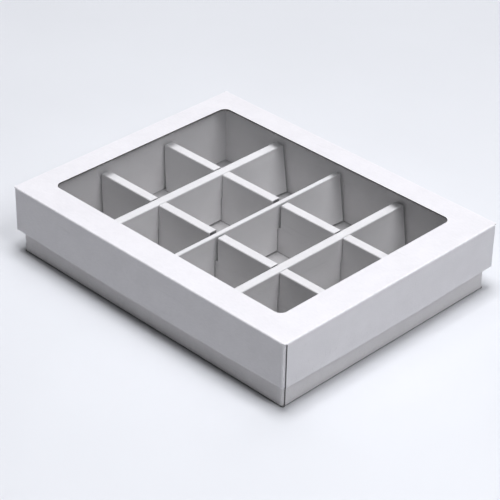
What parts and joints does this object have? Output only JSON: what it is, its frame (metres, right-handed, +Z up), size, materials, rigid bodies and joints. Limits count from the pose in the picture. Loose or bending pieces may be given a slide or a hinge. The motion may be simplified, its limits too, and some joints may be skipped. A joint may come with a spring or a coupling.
{
  "type": "chocolate box",
  "caption": "Shallow white card box with a lift-off windowed lid and a loose grid of slotted card dividers for sweets.",
  "frame": {"origin": "middle of the tray's underside, on the table", "axes": "+X along the long side, +Y along the short side, +Z up through the window"},
  "size_m": [0.192, 0.1526, 0.038],
  "materials": {
    "lid_card": "smooth coated white card",
    "film": "clear film",
    "tray_card": "smooth coated white card",
    "divider_card": "smooth white card"
  },
  "bodies": {
    "tray_body": {"tray": "tray_card"},
    "lid_body": {"lid": "lid_card", "window_film": "film"},
    "long_dividers": {"long_divider_front": "divider_card", "long_divider_back": "divider_card"},
    "short_left": {"short_divider_left": "divider_card"},
    "short_middle": {"short_divider_middle": "divider_card"},
    "short_right": {"short_divider_right": "divider_card"}
  },
  "joints": [
    {"name": "lid_lift", "type": "slide", "parent": "tray_body", "child": "lid_body", "axis": [0, 0, 1], "range_m": [0, 0.06]},
    {"name": "dividers_lift", "type": "slide", "parent": "tray_body", "child": "long_dividers", "axis": [0, 0, 1], "range_m": [0, 0.004]},
    {"name": "short_left_lift", "type": "slide", "parent": "long_dividers", "child": "short_left", "axis": [0, 0, 1], "range_m": [0, 0.004]},
    {"name": "short_middle_lift", "type": "slide", "parent": "long_dividers", "child": "short_middle", "axis": [0, 0, 1], "range_m": [0, 0.004]},
    {"name": "short_right_lift", "type": "slide", "parent": "long_dividers", "child": "short_right", "axis": [0, 0, 1], "range_m": [0, 0.004]}
  ]
}
